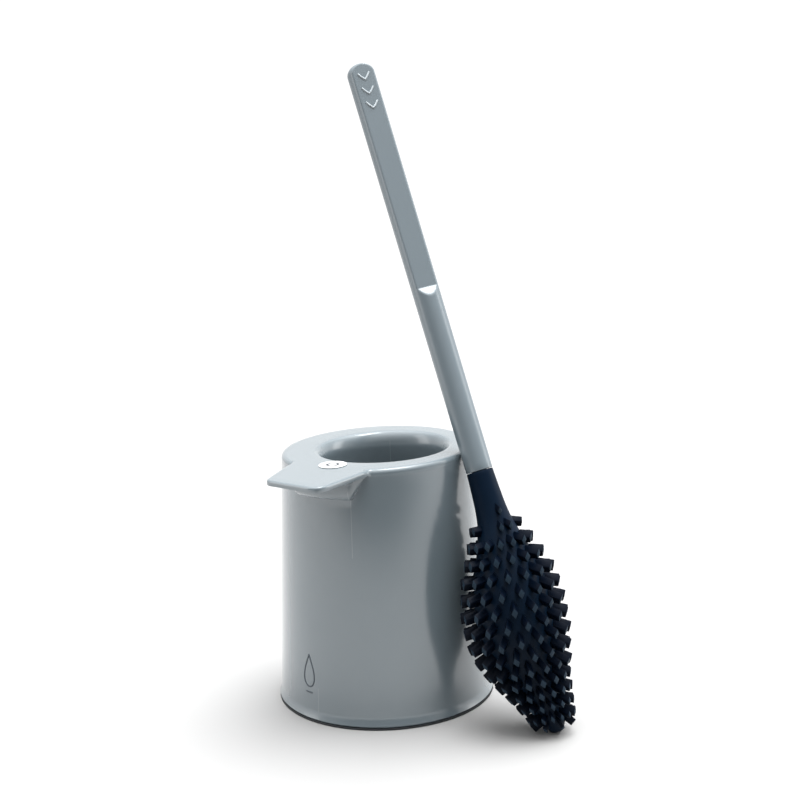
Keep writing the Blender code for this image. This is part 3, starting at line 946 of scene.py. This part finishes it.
def parting_group():
    """A mask of one fine upright line where two halves of the mould met."""
    inputs = (
        ("Vector", "NodeSocketVector", (0.0, 0.0, 0.0)),
        ("Sine", "NodeSocketFloat", 0.0),
        ("Cosine", "NodeSocketFloat", 1.0),
        ("Half Width", "NodeSocketFloat", 0.0002),
        ("Low", "NodeSocketFloat", 0.0),
        ("High", "NodeSocketFloat", 0.1),
    )
    tree, start, end = new_group("parting_line", inputs, (("Mask", "NodeSocketFloat"),))
    split = tree.nodes.new("ShaderNodeSeparateXYZ")
    tree.links.new(start.outputs["Vector"], split.inputs["Vector"])
    sine, cosine = start.outputs["Sine"], start.outputs["Cosine"]
    x, y, z = (split.outputs[axis] for axis in "XYZ")
    across = math_node(
        tree, "SUBTRACT", math_node(tree, "MULTIPLY", x, sine), math_node(tree, "MULTIPLY", y, cosine)
    )
    ahead = math_node(
        tree, "ADD", math_node(tree, "MULTIPLY", x, cosine), math_node(tree, "MULTIPLY", y, sine)
    )
    near = spread(tree, math_node(tree, "ABSOLUTE", across), 0.0, start.outputs["Half Width"], 1.0, 0.0)
    front = math_node(tree, "GREATER_THAN", ahead, 0.0)
    above = math_node(tree, "GREATER_THAN", z, start.outputs["Low"])
    below = math_node(tree, "LESS_THAN", z, start.outputs["High"])
    mask = math_node(tree, "MULTIPLY", near, front)
    mask = math_node(tree, "MULTIPLY", mask, math_node(tree, "MULTIPLY", above, below))
    tree.links.new(mask, end.inputs["Mask"])
    return tree


def place_group(tree, group, **values):
    node = tree.nodes.new("ShaderNodeGroup")
    node.node_tree = group
    for label, value in values.items():
        node.inputs[label.replace("_", " ")].default_value = value
    return node


def moulded_material(name, finish, bump, bump_distance, specular=0.5, coat=0.0, coat_roughness=0.1):
    """A material from the shared finish group, and the nodes that others add to."""
    made = bpy.data.materials.new(name)
    made.use_nodes = True
    tree = made.node_tree
    shader = tree.nodes["Principled BSDF"]
    where = tree.nodes.new("ShaderNodeTexCoord").outputs["Object"]
    group = place_group(tree, finish["group"], **finish["values"])
    tree.links.new(where, group.inputs["Vector"])
    raised = tree.nodes.new("ShaderNodeBump")
    raised.inputs["Strength"].default_value = bump
    raised.inputs["Distance"].default_value = bump_distance
    tree.links.new(group.outputs["Height"], raised.inputs["Height"])
    tree.links.new(raised.outputs["Normal"], shader.inputs["Normal"])
    tree.links.new(group.outputs["Colour"], shader.inputs["Base Color"])
    tree.links.new(group.outputs["Roughness"], shader.inputs["Roughness"])
    shader.inputs["Specular IOR Level"].default_value = specular
    shader.inputs["Coat Weight"].default_value = coat
    shader.inputs["Coat Roughness"].default_value = coat_roughness
    return made, tree, shader, group, where, raised


def pot_material(moulded, parting):
    values = {
        "Colour": (0.126, 0.158, 0.177, 1.0),
        "Worn_Colour": (0.165, 0.198, 0.220, 1.0),
        "Drift": 0.20,
        "Roughness": 0.16,
        "Roughness_Drift": 0.05,
        "Grain_Scale": 1800.0,
        "Scuffs": 0.03,
    }
    finish = {"group": moulded, "values": values}
    made, tree, shader, group, where, raised = moulded_material(
        "pot_plastic_look", finish, 0.04, 0.0002, specular=1.0, coat=1.0, coat_roughness=0.24
    )
    total = None
    for degrees, low, high, half_width in PARTING_LINES:
        turn = math.radians(degrees)
        ends = {"Low": low, "High": high, "Half_Width": half_width}
        line = place_group(tree, parting, Sine=math.sin(turn), Cosine=math.cos(turn), **ends)
        tree.links.new(where, line.inputs["Vector"])
        mask = line.outputs["Mask"]
        total = mask if total is None else math_node(tree, "ADD", total, mask, clamp=True)
    lighter = tree.nodes.new("ShaderNodeMix")
    lighter.data_type = "RGBA"
    lighter.inputs["B"].default_value = PARTING_COLOUR
    tree.links.new(math_node(tree, "MULTIPLY", total, PARTING_SHARE), lighter.inputs["Factor"])
    tree.links.new(group.outputs["Colour"], lighter.inputs["A"])
    tree.links.new(lighter.outputs["Result"], shader.inputs["Base Color"])
    height = math_node(tree, "ADD", group.outputs["Height"], total)
    tree.links.new(height, raised.inputs["Height"])
    return made


def plain_material(
    name, moulded, colour, worn, roughness, grain, bump, drift=0.2, scuffs=0.04, specular=0.5
):
    values = {
        "Colour": (*colour, 1.0),
        "Worn_Colour": (*worn, 1.0),
        "Drift": drift,
        "Roughness": roughness,
        "Roughness_Drift": 0.3 * drift,
        "Grain_Scale": grain,
        "Scuffs": scuffs,
    }
    finish = {"group": moulded, "values": values}
    return moulded_material(name, finish, bump, 0.0002, specular=specular)[0]


def silicone_material(moulded):
    """Near-black navy, with painted light that makes the tips of the nubs paler and painted shade that
    makes their sides darkest.
    """
    values = {
        "Colour": (0.0008, 0.0058, 0.0155, 1.0),
        "Worn_Colour": (0.0060, 0.0170, 0.0330, 1.0),
        "Drift": 0.2,
        "Roughness": 0.42,
        "Roughness_Drift": 0.08,
        "Grain_Scale": 1600.0,
        "Scuffs": 0.04,
    }
    finish = {"group": moulded, "values": values}
    made, tree, shader, group, where, raised = moulded_material(
        "silicone_and_painted_light", finish, 0.2, 0.0002, specular=0.10
    )
    colour = group.outputs["Colour"]
    # painted shade on the nubs' side faces, then painted light on their tip faces
    for name, paint in (("side", NUB_SIDE_PAINTED_SHADE), ("tip", NUB_TIP_PAINTED_LIGHT)):
        marked = tree.nodes.new("ShaderNodeAttribute")
        marked.attribute_name = name
        mixed = tree.nodes.new("ShaderNodeMix")
        mixed.data_type = "RGBA"
        mixed.inputs["B"].default_value = paint
        tree.links.new(marked.outputs["Fac"], mixed.inputs["Factor"])
        tree.links.new(colour, mixed.inputs["A"])
        colour = mixed.outputs["Result"]
    tree.links.new(colour, shader.inputs["Base Color"])
    return made


def label_material(moulded):
    """White label with a dark ring in its middle and a dot on each side of it."""
    values = {
        "Colour": (0.55, 0.56, 0.56, 1.0),
        "Worn_Colour": (0.48, 0.49, 0.50, 1.0),
        "Drift": 0.15,
        "Roughness": 0.38,
        "Roughness_Drift": 0.05,
        "Grain_Scale": 2500.0,
        "Scuffs": 0.05,
    }
    finish = {"group": moulded, "values": values}
    made, tree, shader, group, where, raised = moulded_material("label_look", finish, 0.04, 0.0001)
    place = tree.nodes.new("ShaderNodeMapping")
    place.inputs["Location"].default_value = (-LABEL_CENTRE.x, -LABEL_CENTRE.y, 0.0)
    tree.links.new(where, place.inputs["Vector"])
    split = tree.nodes.new("ShaderNodeSeparateXYZ")
    tree.links.new(place.outputs["Vector"], split.inputs["Vector"])
    x, y = split.outputs["X"], split.outputs["Y"]
    total = None
    for centre_x, centre_y, radius, half_width in LABEL_MARKS:
        dx = math_node(tree, "SUBTRACT", x, centre_x)
        dy = math_node(tree, "SUBTRACT", y, centre_y)
        square = math_node(
            tree, "ADD", math_node(tree, "MULTIPLY", dx, dx), math_node(tree, "MULTIPLY", dy, dy)
        )
        distance = math_node(tree, "SUBTRACT", math_node(tree, "SQRT", square), radius)
        away = math_node(tree, "ABSOLUTE", distance)
        mask = spread(tree, away, half_width * 0.6, half_width, 1.0, 0.0)
        total = mask if total is None else math_node(tree, "ADD", total, mask, clamp=True)
    ink = tree.nodes.new("ShaderNodeMix")
    ink.data_type = "RGBA"
    ink.inputs["B"].default_value = LABEL_INK
    tree.links.new(total, ink.inputs["Factor"])
    tree.links.new(group.outputs["Colour"], ink.inputs["A"])
    tree.links.new(ink.outputs["Result"], shader.inputs["Base Color"])
    return made


# ---- stage ----


def make_stage():
    """A pale floor that ends in front of the pot, past what the camera sees."""
    shape = bmesh.new()
    near = [(x, FLOOR_FRONT, 0.0) for x in (-FLOOR_SIDE, FLOOR_SIDE)]
    far = [(x, FLOOR_BACK, 0.0) for x in (FLOOR_SIDE, -FLOOR_SIDE)]
    shape.faces.new([shape.verts.new(corner) for corner in near + far])
    mesh = bpy.data.meshes.new("floor")
    shape.to_mesh(mesh)
    shape.free()
    floor = add_piece("floor", mesh)
    made = bpy.data.materials.new("floor_look")
    made.use_nodes = True
    shader = made.node_tree.nodes["Principled BSDF"]
    shader.inputs["Base Color"].default_value = (FLOOR_GREY, FLOOR_GREY, FLOOR_GREY, 1.0)
    shader.inputs["Roughness"].default_value = 0.8
    shader.inputs["Specular IOR Level"].default_value = 0.1
    mesh.materials.append(made)


def make_world():
    """Soft white surroundings that light the object less from the camera's side."""
    world = bpy.data.worlds.new("studio")
    bpy.context.scene.world = world
    world.use_nodes = True
    tree = world.node_tree
    back = tree.nodes["Background"]
    split = tree.nodes.new("ShaderNodeSeparateXYZ")
    where = tree.nodes.new("ShaderNodeTexCoord")
    tree.links.new(where.outputs["Generated"], split.inputs["Vector"])
    level = spread(tree, split.outputs["Y"], -0.95, 0.15, WORLD_FRONT, WORLD_BACK)
    above = spread(tree, split.outputs["Z"], 0.15, 0.55, 0.0, WORLD_ABOVE)
    overhead = spread(tree, split.outputs["Z"], 0.60, 0.90, 0.0, WORLD_OVERHEAD)
    lighting = math_node(tree, "ADD", math_node(tree, "MAXIMUM", level, above), overhead)
    seen = tree.nodes.new("ShaderNodeLightPath").outputs["Is Camera Ray"]
    strength = tree.nodes.new("ShaderNodeMix")
    strength.data_type = "FLOAT"
    tree.links.new(seen, strength.inputs["Factor"])
    tree.links.new(lighting, strength.inputs["A"])
    strength.inputs["B"].default_value = WORLD_SEEN
    tree.links.new(strength.outputs["Result"], back.inputs["Strength"])
    back.inputs["Color"].default_value = (1.0, 1.0, 1.0, 1.0)


def add_lamp(name, light):
    lamp = bpy.data.objects.new(name, light)
    bpy.context.scene.collection.objects.link(lamp)
    return lamp


def area_light(name, place, size, power):
    light = bpy.data.lights.new(name, "AREA")
    light.shape = "RECTANGLE"
    light.size, light.size_y = size
    light.energy = power
    lamp = add_lamp(name, light)
    lamp.location = place
    lamp.rotation_euler = (Vector(LIGHTS_AIM) - Vector(place)).to_track_quat("-Z", "Y").to_euler()


def make_lights():
    """A wide soft light from above, and three area lights that show in the glossy parts."""
    overhead = bpy.data.lights.new("overhead_light", "SUN")
    overhead.energy = OVERHEAD_ENERGY
    overhead.angle = OVERHEAD_SPREAD
    lamp = add_lamp("overhead_light", overhead)
    lamp.rotation_euler = OVERHEAD_TURN
    lamp.visible_glossy = False
    for name, place, size, power in AREA_LIGHTS:
        area_light(name, place, size, power)


def make_camera():
    data = bpy.data.cameras.new("camera")
    data.sensor_width = 36.0
    data.lens = CAMERA_LENS
    data.clip_start = 0.01
    camera = bpy.data.objects.new("camera", data)
    bpy.context.scene.collection.objects.link(camera)
    turn = Matrix.Rotation(math.pi / 2 - CAMERA_PITCH, 4, "X") @ Matrix.Rotation(CAMERA_ROLL, 4, "Z")
    camera.matrix_world = Matrix.Translation(CAMERA_PLACE) @ turn
    bpy.context.scene.camera = camera


# ---- putting it together ----


def fit(piece, material, body, slot, *replaced):
    piece.data.materials.clear()
    piece.data.materials.append(material)
    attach(piece, body)
    if replaced:
        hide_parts(*replaced)


make_camera()
make_stage()
make_world()
make_lights()
bpy.context.scene.view_settings.view_transform = "Standard"

moulded = moulded_group()
parting = parting_group()
pot_look = pot_material(moulded, parting)
grip_look = plain_material(
    "grip_look", moulded, (0.142, 0.176, 0.198), (0.20, 0.24, 0.265), 0.24, 2200.0, 0.03,
    drift=0.05, scuffs=0.0, specular=1.0,
)
silicone_and_painted_light = silicone_material(moulded)
rubber_look = plain_material(
    "rubber_look", moulded, (0.020, 0.024, 0.028), (0.05, 0.05, 0.05), 0.7, 1400.0, 0.3
)
core_look = plain_material(
    "core_look", moulded, (0.07, 0.08, 0.09), (0.12, 0.13, 0.14), 0.45, 1500.0, 0.15
)
mark_look = plain_material(
    "mark_look", moulded, (0.045, 0.060, 0.075), (0.10, 0.12, 0.14), 0.45, 2000.0, 0.1
)
raised_look = plain_material(
    "raised_look", moulded, (0.46, 0.51, 0.54), (0.52, 0.56, 0.58), 0.32, 2200.0, 0.1
)
paper_look = label_material(moulded)

fit(make_pot(), pot_look, "pot", "pot_plastic", "pot_shell")
fit(make_base_cup(), pot_look, "pot", "pot_plastic", "base_cup")
fit(make_foot(), rubber_look, "pot", "foot_rubber", "foot_disc")
fit(make_label(), paper_look, "pot", "label", "rim_label")
fit(make_drop_mark(), mark_look, "pot", "pot_plastic")
fit(make_handle(), grip_look, "handle", "handle_plastic", "handle")
fit(make_chevrons(), raised_look, "handle", "handle_plastic")
fit(make_core(), core_look, "head", "core_plastic", "head_core")
fit(make_head(silicone_and_painted_light), silicone_and_painted_light, "head", "silicone", "head_sleeve")
